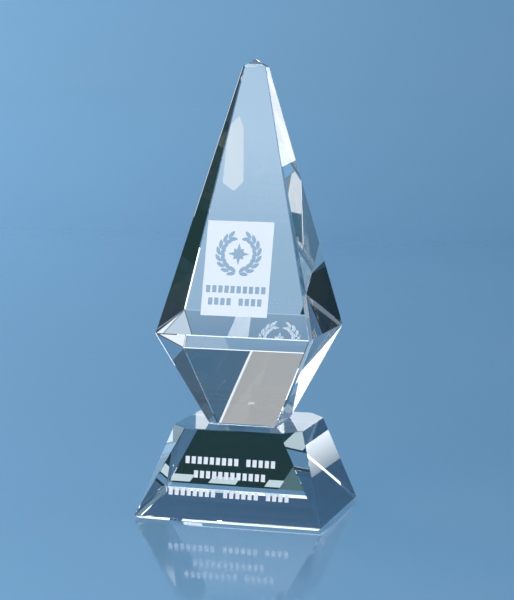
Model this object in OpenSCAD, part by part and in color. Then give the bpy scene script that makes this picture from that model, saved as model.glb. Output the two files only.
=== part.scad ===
// Freestanding cut-crystal award.
// A four-sided spire, widest at its girdle and tapering both ways, stands neck-down on a
// chamfered block and is glued to it. The front of the spire carries a frosted panel with a
// wreath, a star and two rows of blocks left clear in it. The front of the base block carries
// three frosted rows of blocks. All faces are flat and polished.
// Origin: centre of the footprint on the table. +Z is up and the front faces -Y.

/* [Overall] */
// Height from the table to the tip of the spire
total_h = 250; // [235:1:270]

/* [Spire] */
// Width across the girdle, where the spire is widest
girdle_w = 85.4; // [80:0.1:95]
// Depth across the girdle
girdle_d = 83; // [72:0.1:92]
// Height of the girdle above the table
girdle_h = 101.2; // [95:0.1:108]
// Width of the small rectangle under the tip
cap_w = 13; // [10:0.1:18]
// Depth of the small rectangle under the tip
cap_d = 7.2; // [4:0.1:12]
// Height of the low four-sided point above that rectangle
cap_h = 4.3; // [2:0.1:8]
// Width of the neck where it meets the base
neck_w = 38; // [32:0.1:44]
// Depth of the neck where it meets the base
neck_d = 33.8; // [28:0.1:40]

/* [Base block] */
// Height of the block
base_h = 50; // [45:0.5:55]
// Width of the block at its foot
foot_w = 104; // [98:0.1:115]
// Depth of the block at its foot
foot_d = 91.4; // [84:0.1:102]
// Polished bevel round the underside
foot_bevel = 1.8; // [0.5:0.1:3]
// Width of the top face
top_w = 72; // [68:0.1:78]
// Depth of the top face
top_d = 76; // [70:0.1:82]
// Length of the top face's front and back edges, between the corner facets
front_edge = 52.6; // [48:0.1:60]
// Length of the top face's side edges, between the corner facets
side_edge = 49.6; // [42:0.1:58]

/* [Glue] */
// Thickness of the clear adhesive between neck and base
bond_t = 0.2; // [0.1:0.05:0.4]
// How far the adhesive stops short of the neck's outline
bond_inset = 0.3; // [0.1:0.05:1]

/* [Frosting] */
// Depth of the sandblasted areas
frost_depth = 0.3; // [0.2:0.05:0.6]
// Width of the frosted panel on the spire
panel_w = 37; // [30:0.5:40]
// Height of the frosted panel, measured up the slope
panel_h = 52; // [50:0.5:56]
// How far the panel starts above the girdle, up the slope
panel_rise = 11.2; // [8:0.1:14]
// Radius of the wreath, to the middle of its branches
wreath_r = 10.2; // [9:0.1:11]
// Leaf pairs on each branch of the wreath
leaf_pairs = 8; // [6:1:9]
// Length of a leaf
leaf_l = 5.2; // [4:0.1:6]
// Widest part of a leaf
leaf_w = 2.1; // [1.5:0.1:2.5]
// Outer radius of the eight-pointed star
star_r = 6; // [4:0.1:6.5]
// Width of one block in a row
block_w = 2.3; // [1.8:0.1:2.6]
// Height of one block in a row
block_h = 3.9; // [3:0.1:4.5]
// Distance from one block to the next
block_pitch = 3.4; // [3:0.1:3.5]

/* [Hidden] */
clear = 300;
spire_bottom = base_h + bond_t;
cap_base = total_h - cap_h;
spire_lean = atan2((girdle_d - cap_d) / 2, cap_base - girdle_h);
base_lean = atan2((foot_d - top_d) / 2, base_h - foot_bevel);
emblem_rise = panel_rise + 0.655 * panel_h;
branch_from = -72;
branch_to = 66;
leaf_splay = 24;
// Blocks in each word of each row, and how far up the face the middle of the row is.
panel_rows = [[[10], panel_rise + 14.6], [[4, 4], panel_rise + 7.9]];
base_rows = [[[9, 5], 32], [[12], 24.5], [[8, 6, 4], 14.5]];

function mirrored(half) =
    concat(half, [for (i = [len(half) - 1:-1:0]) if (half[i][0] > 0) [-half[i][0], half[i][1]]]);
function sum(list, upto, i = 0) = i >= upto ? 0 : list[i] + sum(list, upto, i + 1);

// Solid with one outline seen from the front and another seen from the side.
// Each outline is a list of [half width, height], from the bottom up.
module crossed_outlines(front, side) {
    intersection() {
        rotate([90, 0, 0]) linear_extrude(clear, center = true) polygon(mirrored(front));
        rotate([90, 0, 90]) linear_extrude(clear, center = true) polygon(mirrored(side));
    }
}

// Moves its children onto the spire's upper front face: x across, y up the slope, z outward.
module on_spire_face() {
    translate([0, -girdle_d / 2, girdle_h]) rotate([90 - spire_lean, 0, 0]) children();
}

// The same for the front face of the base block, measured from the top of the foot bevel.
module on_base_face() {
    translate([0, -foot_d / 2, foot_bevel]) rotate([90 - base_lean, 0, 0]) children();
}

// A cutter that reaches frost_depth below the face it lies on and stands clear above it.
module frost_cutter() {
    translate([0, 0, -frost_depth]) linear_extrude(1 + frost_depth) children();
}

// One row of equal blocks, split into words, centred on x.
module block_row(words) {
    slots = sum(words, len(words)) + len(words) - 1;
    for (word = [0:len(words) - 1])
        for (i = [0:words[word] - 1])
            let (slot = sum(words, word) + word + i)
                translate([(slot - (slots - 1) / 2) * block_pitch, 0])
                    square([block_w, block_h], center = true);
}

module leaf() {
    r = (leaf_l * leaf_l + leaf_w * leaf_w) / (4 * leaf_w);
    intersection() {
        translate([r - leaf_w / 2, 0]) circle(r, $fn = 48);
        translate([leaf_w / 2 - r, 0]) circle(r, $fn = 48);
    }
}

// Two mirrored branches of paired leaves, open at the top.
module wreath() {
    step = (branch_to - branch_from) / (leaf_pairs - 1);
    for (flip = [0, 1])
        mirror([flip, 0])
            for (i = [0:leaf_pairs - 1], side = [-1, 1])
                rotate(branch_from + i * step)
                    translate([wreath_r + side * leaf_w * 0.62, 0])
                        rotate(-side * leaf_splay)
                            leaf();
}

module star() {
    polygon([for (i = [0:15]) let (r = star_r * (i % 2 == 1 ? 0.45 : i % 4 == 0 ? 1 : 0.68))
        [r * sin(i * 22.5), r * cos(i * 22.5)]]);
}

module panel_outline() {
    difference() {
        translate([-panel_w / 2, panel_rise]) square([panel_w, panel_h]);
        translate([0, emblem_rise]) {
            wreath();
            star();
        }
        for (row = panel_rows)
            translate([0, row[1]]) block_row(row[0]);
    }
}

module lines_outline() {
    for (row = base_rows)
        translate([0, row[1]]) block_row(row[0]);
}

module spire_blank() {
    crossed_outlines(
        [[neck_w / 2, spire_bottom], [girdle_w / 2, girdle_h], [cap_w / 2, cap_base], [0, total_h]],
        [[neck_d / 2, spire_bottom], [girdle_d / 2, girdle_h], [cap_d / 2, cap_base], [0, total_h]]);
}

// Everything beyond the flat facet that runs from a top corner of the block, where it is as
// wide as the corner's two edges allow, down to a point at the foot.
module corner_waste() {
    run = [(top_w - front_edge) / 2, (top_d - side_edge) / 2];
    top_reach = (front_edge * run[1] + top_d * run[0]) / 2 / norm(run);
    foot_reach = (foot_w * run[1] + foot_d * run[0]) / 2 / norm(run);
    lean = atan2(foot_reach - top_reach, base_h - foot_bevel);
    rotate([0, 0, -atan2(run[0], run[1])])
        translate([top_reach, 0, base_h])
            rotate([0, -lean, 0])
                translate([0, -clear / 2, -clear / 2])
                    cube(clear);
}

module base_blank() {
    difference() {
        crossed_outlines(
            [[foot_w / 2 - foot_bevel, 0], [foot_w / 2, foot_bevel], [top_w / 2, base_h]],
            [[foot_d / 2 - foot_bevel, 0], [foot_d / 2, foot_bevel], [top_d / 2, base_h]]);
        for (flip_x = [0, 1], flip_y = [0, 1])
            mirror([flip_x, 0, 0]) mirror([0, flip_y, 0]) corner_waste();
    }
}

module spire() {
    color([0.72, 0.86, 0.95, 0.5])
        difference() {
            spire_blank();
            on_spire_face() frost_cutter() panel_outline();
        }
}

module base() {
    color([0.38, 0.56, 0.70, 0.5])
        difference() {
            base_blank();
            on_base_face() frost_cutter() lines_outline();
        }
}

module bond_film() {
    color([0.93, 0.96, 0.98, 0.5])
        translate([bond_inset - neck_w / 2, bond_inset - neck_d / 2, base_h])
            cube([neck_w - 2 * bond_inset, neck_d - 2 * bond_inset, bond_t]);
}

module frosted_panel() {
    color([0.90, 0.93, 0.96])
        intersection() {
            spire_blank();
            on_spire_face() frost_cutter() panel_outline();
        }
}

module frosted_lines() {
    color([0.86, 0.91, 0.96])
        intersection() {
            base_blank();
            on_base_face() frost_cutter() lines_outline();
        }
}

spire();
base();
bond_film();
frosted_panel();
frosted_lines();
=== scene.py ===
"""Cut-crystal award on a plain pale floor: two glued blocks of optical crystal with frosted areas."""

import math

import bmesh
import bpy
from mathutils import Matrix, Vector

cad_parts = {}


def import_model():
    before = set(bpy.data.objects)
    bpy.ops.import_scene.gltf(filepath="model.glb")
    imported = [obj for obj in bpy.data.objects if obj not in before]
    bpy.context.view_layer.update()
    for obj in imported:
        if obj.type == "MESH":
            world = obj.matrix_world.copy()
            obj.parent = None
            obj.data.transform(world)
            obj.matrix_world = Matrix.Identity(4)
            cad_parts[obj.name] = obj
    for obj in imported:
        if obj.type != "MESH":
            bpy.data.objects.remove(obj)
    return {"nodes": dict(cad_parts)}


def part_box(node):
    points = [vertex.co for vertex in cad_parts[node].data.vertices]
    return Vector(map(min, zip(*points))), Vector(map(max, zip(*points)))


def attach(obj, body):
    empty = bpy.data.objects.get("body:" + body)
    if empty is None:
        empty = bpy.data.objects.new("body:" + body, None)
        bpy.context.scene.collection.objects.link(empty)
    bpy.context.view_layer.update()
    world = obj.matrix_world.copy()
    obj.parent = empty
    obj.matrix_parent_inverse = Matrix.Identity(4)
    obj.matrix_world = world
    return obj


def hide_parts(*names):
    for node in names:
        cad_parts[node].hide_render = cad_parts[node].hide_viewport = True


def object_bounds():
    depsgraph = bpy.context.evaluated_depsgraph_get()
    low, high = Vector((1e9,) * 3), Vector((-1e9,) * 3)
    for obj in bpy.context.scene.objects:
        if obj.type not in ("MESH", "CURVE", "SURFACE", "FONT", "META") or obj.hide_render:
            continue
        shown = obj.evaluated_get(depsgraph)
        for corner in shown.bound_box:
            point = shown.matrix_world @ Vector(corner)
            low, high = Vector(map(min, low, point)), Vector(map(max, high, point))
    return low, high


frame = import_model()
cad_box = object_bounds()

MM = 0.001
ARRIS = 0.5 * MM  # width of the ground flat on every cut edge
ARRIS_STEPS = 1
COPLANAR = math.radians(0.2)  # faces that meet at less than this are one face
WELD = 0.01 * MM  # points closer than this are one corner
CRYSTAL_IOR = 1.534
FILM_REACH = 0.01 * MM  # how far the adhesive wets into each block
FILM_CORNER = 0.4 * MM
FLOOR_DEEP = (0.21, 0.42, 0.64)
FLOOR_PALE = (0.27, 0.50, 0.72)


# Materials


def new_material(name):
    """An empty node material, with its tree and its output."""
    material = bpy.data.materials.new(name)
    material.use_nodes = True
    tree = material.node_tree
    tree.nodes.clear()
    return material, tree, tree.nodes.new("ShaderNodeOutputMaterial")


def add(tree, kind, **values):
    """A node of this kind, with its input sockets set by name."""
    node = tree.nodes.new(kind)
    for name, value in values.items():
        node.inputs[name.replace("_", " ")].default_value = value
    return node


def noise(tree, scale, detail=4.0, roughness=0.5, stretch=(1.0, 1.0, 1.0)):
    """Noise in object space, with scale in cycles per metre."""
    place = tree.nodes.new("ShaderNodeTexCoord")
    shape = add(tree, "ShaderNodeMapping", Scale=stretch)
    texture = add(tree, "ShaderNodeTexNoise", Scale=scale, Detail=detail, Roughness=roughness)
    tree.links.new(place.outputs["Object"], shape.inputs["Vector"])
    tree.links.new(shape.outputs["Vector"], texture.inputs["Vector"])
    return texture.outputs["Fac"]


def spread(tree, value, low, high, to_low, to_high):
    """Value mapped from low..high to to_low..to_high, and clamped."""
    node = tree.nodes.new("ShaderNodeMapRange")
    tree.links.new(value, node.inputs["Value"])
    for name, number in zip(("From Min", "From Max", "To Min", "To Max"), (low, high, to_low, to_high)):
        node.inputs[name].default_value = number
    return node.outputs["Result"]


def blend(tree, value, first, last):
    """A colour that runs from first to last with the value."""
    ramp = tree.nodes.new("ShaderNodeValToRGB")
    ramp.color_ramp.elements[0].color = (*first, 1.0)
    ramp.color_ramp.elements[1].color = (*last, 1.0)
    tree.links.new(value, ramp.inputs["Fac"])
    return ramp.outputs["Color"]


def bump(tree, height, depth):
    """A normal from a height of 0..1, with depth in metres."""
    node = add(tree, "ShaderNodeBump", Strength=1.0, Distance=depth)
    tree.links.new(height, node.inputs["Height"])
    return node.outputs["Normal"]


def let_light_past(tree, shader, output, tint):
    """Shadow rays go straight through, so that the lamps reach what stands behind the glass."""
    ray = tree.nodes.new("ShaderNodeLightPath")
    clear = add(tree, "ShaderNodeBsdfTransparent", Color=(*tint, 1.0))
    mix = tree.nodes.new("ShaderNodeMixShader")
    tree.links.new(ray.outputs["Is Shadow Ray"], mix.inputs["Fac"])
    tree.links.new(shader.outputs["BSDF"], mix.inputs[1])
    tree.links.new(clear.outputs["BSDF"], mix.inputs[2])
    tree.links.new(mix.outputs["Shader"], output.inputs["Surface"])


def crystal_material():
    """Polished optical crystal, with faint smears from handling."""
    material, tree, output = new_material("crystal")
    glass = add(tree, "ShaderNodeBsdfPrincipled", IOR=CRYSTAL_IOR)
    glass.inputs["Transmission Weight"].default_value = 1.0
    smears = noise(tree, 55.0, detail=6.0, roughness=0.62)
    tree.links.new(spread(tree, smears, 0.5, 0.72, 0.0, 0.02), glass.inputs["Roughness"])
    tree.links.new(blend(tree, smears, (0.985, 0.995, 1.0), (0.95, 0.975, 0.985)), glass.inputs["Base Color"])
    let_light_past(tree, glass, output, (0.90, 0.95, 0.97))
    return material


def frost_material():
    """Sandblasted crystal: a white, finely pitted skin that lets some light through."""
    material, tree, output = new_material("frost")
    grain = noise(tree, 3600.0, detail=3.0)
    patches = noise(tree, 160.0, detail=3.0)
    skin = add(tree, "ShaderNodeBsdfPrincipled", IOR=CRYSTAL_IOR)
    skin.inputs["Transmission Weight"].default_value = 0.2
    tree.links.new(blend(tree, grain, (0.86, 0.89, 0.93), (0.98, 0.99, 1.0)), skin.inputs["Base Color"])
    tree.links.new(spread(tree, patches, 0.35, 0.65, 0.55, 0.75), skin.inputs["Roughness"])
    tree.links.new(bump(tree, grain, 0.00005), skin.inputs["Normal"])
    let_light_past(tree, skin, output, (0.55, 0.58, 0.62))
    return material


def adhesive_material():
    """Cured clear adhesive."""
    material, tree, output = new_material("adhesive")
    film = add(tree, "ShaderNodeBsdfPrincipled", IOR=CRYSTAL_IOR)
    film.inputs["Transmission Weight"].default_value = 1.0
    cure = noise(tree, 400.0)
    tree.links.new(spread(tree, cure, 0.45, 0.8, 0.0, 0.06), film.inputs["Roughness"])
    tree.links.new(blend(tree, cure, (0.99, 0.99, 0.98), (0.95, 0.97, 0.97)), film.inputs["Base Color"])
    let_light_past(tree, film, output, (0.96, 0.97, 0.97))
    return material


def floor_material():
    """Smooth pale blue lacquer, almost a mirror at a low angle."""
    material, tree, output = new_material("floor")
    paint = add(tree, "ShaderNodeBsdfPrincipled", IOR=1.45)
    cloud = noise(tree, 1.2, detail=3.0)
    tree.links.new(blend(tree, cloud, FLOOR_DEEP, FLOOR_PALE), paint.inputs["Base Color"])
    tree.links.new(spread(tree, noise(tree, 30.0), 0.3, 0.7, 0.05, 0.09), paint.inputs["Roughness"])
    tree.links.new(paint.outputs["BSDF"], output.inputs["Surface"])
    return material


def card_material():
    """Even light in the shade that each card carries on its points."""
    material, tree, output = new_material("card")
    shade = tree.nodes.new("ShaderNodeAttribute")
    shade.attribute_name = "shade"
    light = tree.nodes.new("ShaderNodeEmission")
    tree.links.new(shade.outputs["Color"], light.inputs["Color"])
    tree.links.new(light.outputs["Emission"], output.inputs["Surface"])
    return material


# Pieces


def new_piece(name, maker, *materials):
    """A new object from a bmesh, with flat faces."""
    mesh = bpy.data.meshes.new(name)
    maker.to_mesh(mesh)
    maker.free()
    for material in materials:
        mesh.materials.append(material)
    obj = bpy.data.objects.new(name, mesh)
    bpy.context.scene.collection.objects.link(obj)
    return obj


AWARD = bpy.data.collections.new("award")  # the only things that the cards shine on


def stand_for(piece, node):
    """The piece rides on the award's one body and takes the place of this CAD node, which it hides."""
    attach(piece, "root")
    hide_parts(node)
    AWARD.objects.link(piece)


def front_plane(node):
    """A point and the outward normal of the face that this frosted inlay is flush with."""
    mesh = frame["nodes"][node].data
    face = max(mesh.polygons, key=lambda p: (p.normal.y < -0.5) * p.area)
    return mesh.vertices[face.vertices[0]].co.copy(), face.normal.copy()


def cut_block(node, material):
    """The whole block without its frosted pockets, each cut edge ground to a narrow flat."""
    block = bmesh.new()
    for vertex in frame["nodes"][node].data.vertices:
        block.verts.new(vertex.co)
    bmesh.ops.remove_doubles(block, verts=block.verts, dist=WELD)
    bmesh.ops.convex_hull(block, input=block.verts)
    spare = [v for v in block.verts if not v.link_faces]
    bmesh.ops.delete(block, geom=spare, context="VERTS")
    bmesh.ops.dissolve_limit(block, angle_limit=COPLANAR, verts=block.verts, edges=block.edges)
    bmesh.ops.bevel(
        block, geom=block.edges, offset=ARRIS, offset_type="WIDTH", segments=ARRIS_STEPS, profile=0.5,
        affect="EDGES", clamp_overlap=True,
    )
    return new_piece(node + "_block", block, material)


def pocket_cutter(node, material):
    """The frosted inlay, with its front pushed clear of the face it lies in."""
    point, normal = front_plane(node)
    cutter = bmesh.new()
    cutter.from_mesh(frame["nodes"][node].data)
    bmesh.ops.remove_doubles(cutter, verts=cutter.verts, dist=1e-7)
    for vertex in cutter.verts:
        if (vertex.co - point).dot(normal) > -0.1 * MM:
            vertex.co += normal * MM
    return new_piece(node + "_cutter", cutter, material)


def carve(block_node, frost_node, crystal, frost):
    """The crystal block and the frosted skin of its pockets, which close each other's surface."""
    block = cut_block(block_node, crystal)
    cutter = pocket_cutter(frost_node, frost)
    boolean = block.modifiers.new("pocket", "BOOLEAN")
    boolean.object = cutter
    boolean.solver = "EXACT"
    boolean.material_mode = "TRANSFER"
    carved = bpy.data.meshes.new_from_object(block.evaluated_get(bpy.context.evaluated_depsgraph_get()))
    slots = [m.name for m in carved.materials]
    for node, material in ((block_node, crystal), (frost_node, frost)):
        part = bmesh.new()
        part.from_mesh(carved)
        others = [f for f in part.faces if f.material_index != slots.index(material.name)]
        bmesh.ops.delete(part, geom=others, context="FACES")
        for face in part.faces:
            face.material_index = 0
        stand_for(new_piece(node + "_piece", part, material), node)
    for helper in (block, cutter):
        bpy.data.objects.remove(helper)


def glue_film(material):
    """The adhesive, wetting both blocks and rounded at its corners."""
    low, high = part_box("bond_film")
    film = bmesh.new()
    bmesh.ops.create_cube(film, size=1.0)
    size = high - low + Vector((0, 0, 2 * FILM_REACH))
    for vertex in film.verts:
        vertex.co = (low + high) / 2 + Vector(a * b for a, b in zip(vertex.co, size))
    upright = [e for e in film.edges if abs(e.verts[0].co.z - e.verts[1].co.z) > FILM_REACH]
    bmesh.ops.bevel(
        film, geom=upright, offset=FILM_CORNER, offset_type="OFFSET", segments=4, profile=0.5, affect="EDGES"
    )
    stand_for(new_piece("bond_film_piece", film, material), "bond_film")


# Setting


def floor():
    """A wide floor that sweeps up into the backdrop."""
    half, front, back, top, radius, steps = 4.5, -3.5, 3.0, 4.0, 0.9, 16
    sweep = bmesh.new()
    profile = [(front, 0.0), (back - radius, 0.0)]
    for i in range(1, steps + 1):
        turn = math.radians(90) * i / steps
        profile.append((back - radius + radius * math.sin(turn), radius - radius * math.cos(turn)))
    profile.append((back, top))
    rows = [[sweep.verts.new((x, y, z)) for x in (-half, half)] for y, z in profile]
    for low, high in zip(rows, rows[1:]):
        sweep.faces.new((low[0], low[1], high[1], high[0]))
    for face in sweep.faces:
        face.smooth = True
    new_piece("floor", sweep, floor_material())


def show_in_crystal(obj, through, mirrored):
    """This card shines on the award only.

    The camera doesn't see it, and it blocks no lamp. One that is mirrored still hides the backdrop
    behind it from the glossy floor, which makes a faint dark area there in some views.
    """
    obj.visible_camera = obj.visible_diffuse = obj.visible_shadow = False
    obj.visible_transmission = through
    obj.visible_glossy = mirrored
    obj.light_linking.receiver_collection = AWARD


def card(name, low, high, colour, top_colour=None, through=True, mirrored=False):
    """A card for the crystal to show: a strip curved round the award.

    Its low and its high edge are each (radius, height, bearing, bearing), in metres and in degrees
    from the award's right, with 90 behind it. Its colour runs to top_colour at the high edge. It is
    seen through the crystal if through, and in the crystal's outer faces if mirrored.
    """
    strip = bmesh.new()
    shade = strip.verts.layers.float_color.new("shade")
    last = None
    for i in range(CARD_STEPS + 1):
        pair = []
        for edge, paint in ((low, colour), (high, top_colour or colour)):
            radius, height, start, end = edge
            turn = math.radians(start + (end - start) * i / CARD_STEPS)
            pair.append(strip.verts.new((radius * math.cos(turn), radius * math.sin(turn), height)))
            pair[-1][shade] = (*paint, 1.0)
        if last:
            strip.faces.new((last[0], last[1], pair[1], pair[0]))
        last = pair
    show_in_crystal(new_piece(name, strip, CARD_LIGHT), through, mirrored)


def wall_card(name, heights, bearings, colour, top_colour=None, mirrored=False):
    """A card on the wall of the studio, WALL metres away."""
    low, high = ((WALL, height, *bearings) for height in heights)
    card(name, low, high, colour, top_colour, mirrored=mirrored)


def table_card(name, radii, bearings, colour, far_colour=None):
    """A card that lies on the floor."""
    low, high = ((radius, CARD_LIFT, *bearings) for radius in radii)
    card(name, low, high, colour, far_colour)


def foot_card(name, across, behind, lift, colour):
    """A flat rectangle on the floor behind the award, seen through the base."""
    flat = bmesh.new()
    shade = flat.verts.layers.float_color.new("shade")
    (left, right), (near, far) = across, behind
    outline = (left, near), (right, near), (right, far), (left, far)
    corners = [flat.verts.new((x, y, lift)) for x, y in outline]
    for corner in corners:
        corner[shade] = (*colour, 1.0)
    flat.faces.new(corners)
    show_in_crystal(new_piece(name, flat, CARD_LIGHT), True, False)


def soft_light(name, place, aim, size, power):
    """A soft lamp that lights the floor and the frost, and isn't seen through or in the crystal."""
    data = bpy.data.lights.new(name, "AREA")
    data.shape = "RECTANGLE"
    data.size, data.size_y = size
    data.energy = power
    light = bpy.data.objects.new(name, data)
    bpy.context.scene.collection.objects.link(light)
    light.location = place
    light.rotation_euler = (Vector(aim) - Vector(place)).to_track_quat("-Z", "Y").to_euler()
    light.visible_transmission = light.visible_glossy = False


def camera():
    """The photograph's viewing angle: from the front, a little to the right and above."""
    azimuth, elevation, roll = math.radians(14.75), math.radians(5.46), math.radians(0.95)
    distance = 1.106
    aim = Vector((0, 0, cad_box[1].z / 2))
    flat = math.cos(elevation)
    back = Vector((math.sin(azimuth) * flat, -math.cos(azimuth) * flat, math.sin(elevation)))
    level = Vector((math.cos(azimuth), math.sin(azimuth), 0))
    upright = back.cross(level)
    right = math.cos(roll) * level + math.sin(roll) * upright
    up = math.cos(roll) * upright - math.sin(roll) * level
    data = bpy.data.cameras.new("camera")
    data.sensor_width, data.lens = 36.0, 120.0
    data.shift_x, data.shift_y = 0.008, -0.0233
    obj = bpy.data.objects.new("camera", data)
    bpy.context.scene.collection.objects.link(obj)
    turn = Matrix((right, up, back)).transposed().to_4x4()
    obj.matrix_world = Matrix.Translation(aim + distance * back) @ turn
    bpy.context.scene.camera = obj


def world(colour, strength):
    """Even light from all round."""
    scene = bpy.context.scene
    scene.world = bpy.data.worlds.new("world")
    scene.world.use_nodes = True
    backdrop = scene.world.node_tree.nodes["Background"]
    backdrop.inputs["Color"].default_value = (*colour, 1.0)
    backdrop.inputs["Strength"].default_value = strength
    scene.view_settings.view_transform = "Standard"


def light_paths():
    """Enough bounces for light that stays inside the crystal for a long way."""
    cycles = bpy.context.scene.cycles
    cycles.max_bounces = 40
    cycles.transmission_bounces = 32
    cycles.glossy_bounces = 32


CARD_LIGHT = card_material()
WALL = 1.3  # from the award's axis to the cards that stand round the studio
CARD_STEPS = 12
CARD_LIFT = 0.002  # of a card that lies on the floor
OVERLAY_LIFT = 0.003  # of a card that lies over another one

# Glow colours of the cards: painted light and painted shade for the crystal to show.
SLATE = (0.06, 0.13, 0.215)
WARM_GREY = (0.42, 0.42, 0.415)
BOTTLE = (0.004, 0.026, 0.024)
ICE = (0.46, 0.64, 0.83)
WHITE = (0.95, 1.0, 1.05)
HIGHLIGHT_GLOW = (0.68, 0.80, 0.91)


def crystal_cards():
    """Light and dark cards, placed to give the crystal the photograph's light and dark areas.

    They suit the photograph's viewing angle. Without them the scene has plain soft light only.
    """
    # Cards on the floor behind the foot, seen through the base: a dark one and a dim one give painted shade,
    # and three pale ones give painted light patches.
    foot_card("foot_flag", (-0.10, 0.012), (0.0505, 0.150), CARD_LIFT, BOTTLE)
    foot_card("foot_shade", (0.012, 0.06), (0.0505, 0.150), CARD_LIFT, (0.085, 0.165, 0.185))
    for i, across in enumerate(((-0.054, -0.040), (-0.029, -0.013), (0.004, 0.013))):
        foot_card("foot_light_patch_%d" % i, across, (0.0505, 0.0600), OVERLAY_LIFT, (0.60, 0.74, 0.78))
    table_card("near_floor", (0.20, 0.40), (97, 126), (0.30, 0.46, 0.64), (0.34, 0.52, 0.71))
    table_card("bright_floor", (0.40, 0.62), (97, 126), (0.34, 0.52, 0.71), ICE)
    table_card("far_floor", (0.62, 1.25), (97, 126), ICE, (0.40, 0.57, 0.76))
    # Three bright cards over the floor cards make one house-shaped patch: a painted highlight in the
    # crystal's front.
    card("highlight_patch", (0.507, OVERLAY_LIFT, 106.2, 108.1), (0.645, OVERLAY_LIFT, 106.2, 107.4), HIGHLIGHT_GLOW)
    card("highlight_patch_top", (0.645, OVERLAY_LIFT, 106.2, 107.4), (0.675, OVERLAY_LIFT, 106.5, 106.6), HIGHLIGHT_GLOW)
    card("highlight_patch_foot", (0.488, OVERLAY_LIFT, 107.0, 107.2), (0.507, OVERLAY_LIFT, 106.2, 108.1), HIGHLIGHT_GLOW)
    table_card("left_flag", (0.13, 0.46), (79, 97), BOTTLE)
    table_card("far_flag", (0.46, 1.25), (79, 97), (0.02, 0.04, 0.05), (0.01, 0.02, 0.04))
    table_card("right_floor", (0.20, 1.25), (55, 79), WHITE)
    table_card("front_floor", (0.085, 0.20), (210, 292), (0.01, 0.025, 0.03))
    table_card("front_right", (0.20, 0.60), (300, 318), (2.5, 2.5, 2.6))
    wall_card("horizon", (0.02, 0.19), (97, 114), (0.10, 0.22, 0.36), (0.34, 0.50, 0.68))
    wall_card("pale_sky", (0.19, 0.32), (97, 114), (0.62, 0.72, 0.80))
    wall_card("white_sky", (0.32, 0.60), (96, 116), (1.3, 1.4, 1.5))
    wall_card("low_right", (0.0, 0.036), (62, 84), (0.9, 1.0, 1.0), (3.2, 3.4, 3.5), mirrored=True)
    wall_card("dark_right", (0.036, 0.17), (62, 84), (0.01, 0.02, 0.03), mirrored=True)
    wall_card("slate_right", (0.17, 0.30), (62, 86), (0.06, 0.13, 0.18), (0.16, 0.28, 0.37), mirrored=True)
    wall_card("bright_right", (0.30, 0.46), (64, 86), (2.6, 2.7, 2.8), mirrored=True)
    wall_card("deep_right", (0.46, 0.60), (70, 84), (0.01, 0.08, 0.13))
    wall_card("strip_right", (0.60, 0.86), (70, 80), WHITE)
    wall_card("pale_right", (0.46, 0.85), (56, 70), (0.58, 0.70, 0.82))
    wall_card("far_right", (0.20, 1.10), (-14, 26), (0.04, 0.09, 0.14), mirrored=True)
    wall_card("high_back", (1.10, 1.75), (74, 88), (0.06, 0.10, 0.14))
    # Warm grey, white and slate cards side by side: painted light and shade that the crystal shows as two
    # tones split by a thin white line.
    card("warm_grey", (WALL, 0.60, 94, 107.86), (WALL, 0.81, 94, 104.93), WARM_GREY)
    card("white_edge", (WALL, 0.60, 107.86, 108.00), (WALL, 0.81, 104.93, 105.07), WHITE)
    card("slate", (WALL, 0.60, 108.00, 122), (WALL, 0.81, 105.07, 122), SLATE)
    wall_card("green_left", (0.18, 0.32), (121, 136), (0.03, 0.07, 0.06), mirrored=True)
    wall_card("dark_left", (0.0, 0.15), (132, 164), (0.008, 0.015, 0.02), mirrored=True)
    wall_card("bright_left", (0.15, 0.36), (137, 164), (0.5, 1.2, 1.9), (2.2, 2.6, 2.8), mirrored=True)
    wall_card("left_bank", (1.10, 2.20), (188, 232), (2.4, 2.5, 2.5))
    wall_card("front_bank", (0.62, 1.10), (238, 262), (0.28, 0.36, 0.42), mirrored=True)
    wall_card("front_flag", (0.05, 0.60), (236, 266), (0.01, 0.02, 0.03))
    wall_card("right_bank", (0.09, 0.36), (300, 320), (3.0, 3.1, 3.1))
    card("hot_bank", (0.86, 1.68, 235, 251), (1.16, 1.68, 235, 251), (9.0, 9.0, 8.8))
    card("overhead_bank", (0.15, 1.7, 240, 300), (0.84, 1.7, 240, 300), (2.6, 2.9, 3.0), mirrored=True)
    glint_low, glint_high = ((0.20, height, 91, 115) for height in (0.066, 0.100))
    card("top_glint", glint_low, glint_high, (1.4, 1.5, 1.6), through=False, mirrored=True)


crystal = crystal_material()
frost = frost_material()
carve("spire", "frosted_panel", crystal, frost)
carve("base", "frosted_lines", crystal, frost)
glue_film(adhesive_material())
floor()
soft_light("key", (-0.7, -1.8, 0.65), (0, 0, 0.12), (1.0, 1.0), 35)
soft_light("left", (-2.6, 1.4, 1.4), (-0.3, 1.6, 0.2), (1.2, 1.2), 40)
crystal_cards()
camera()
world((0.62, 0.76, 0.92), 0.38)
light_paths()
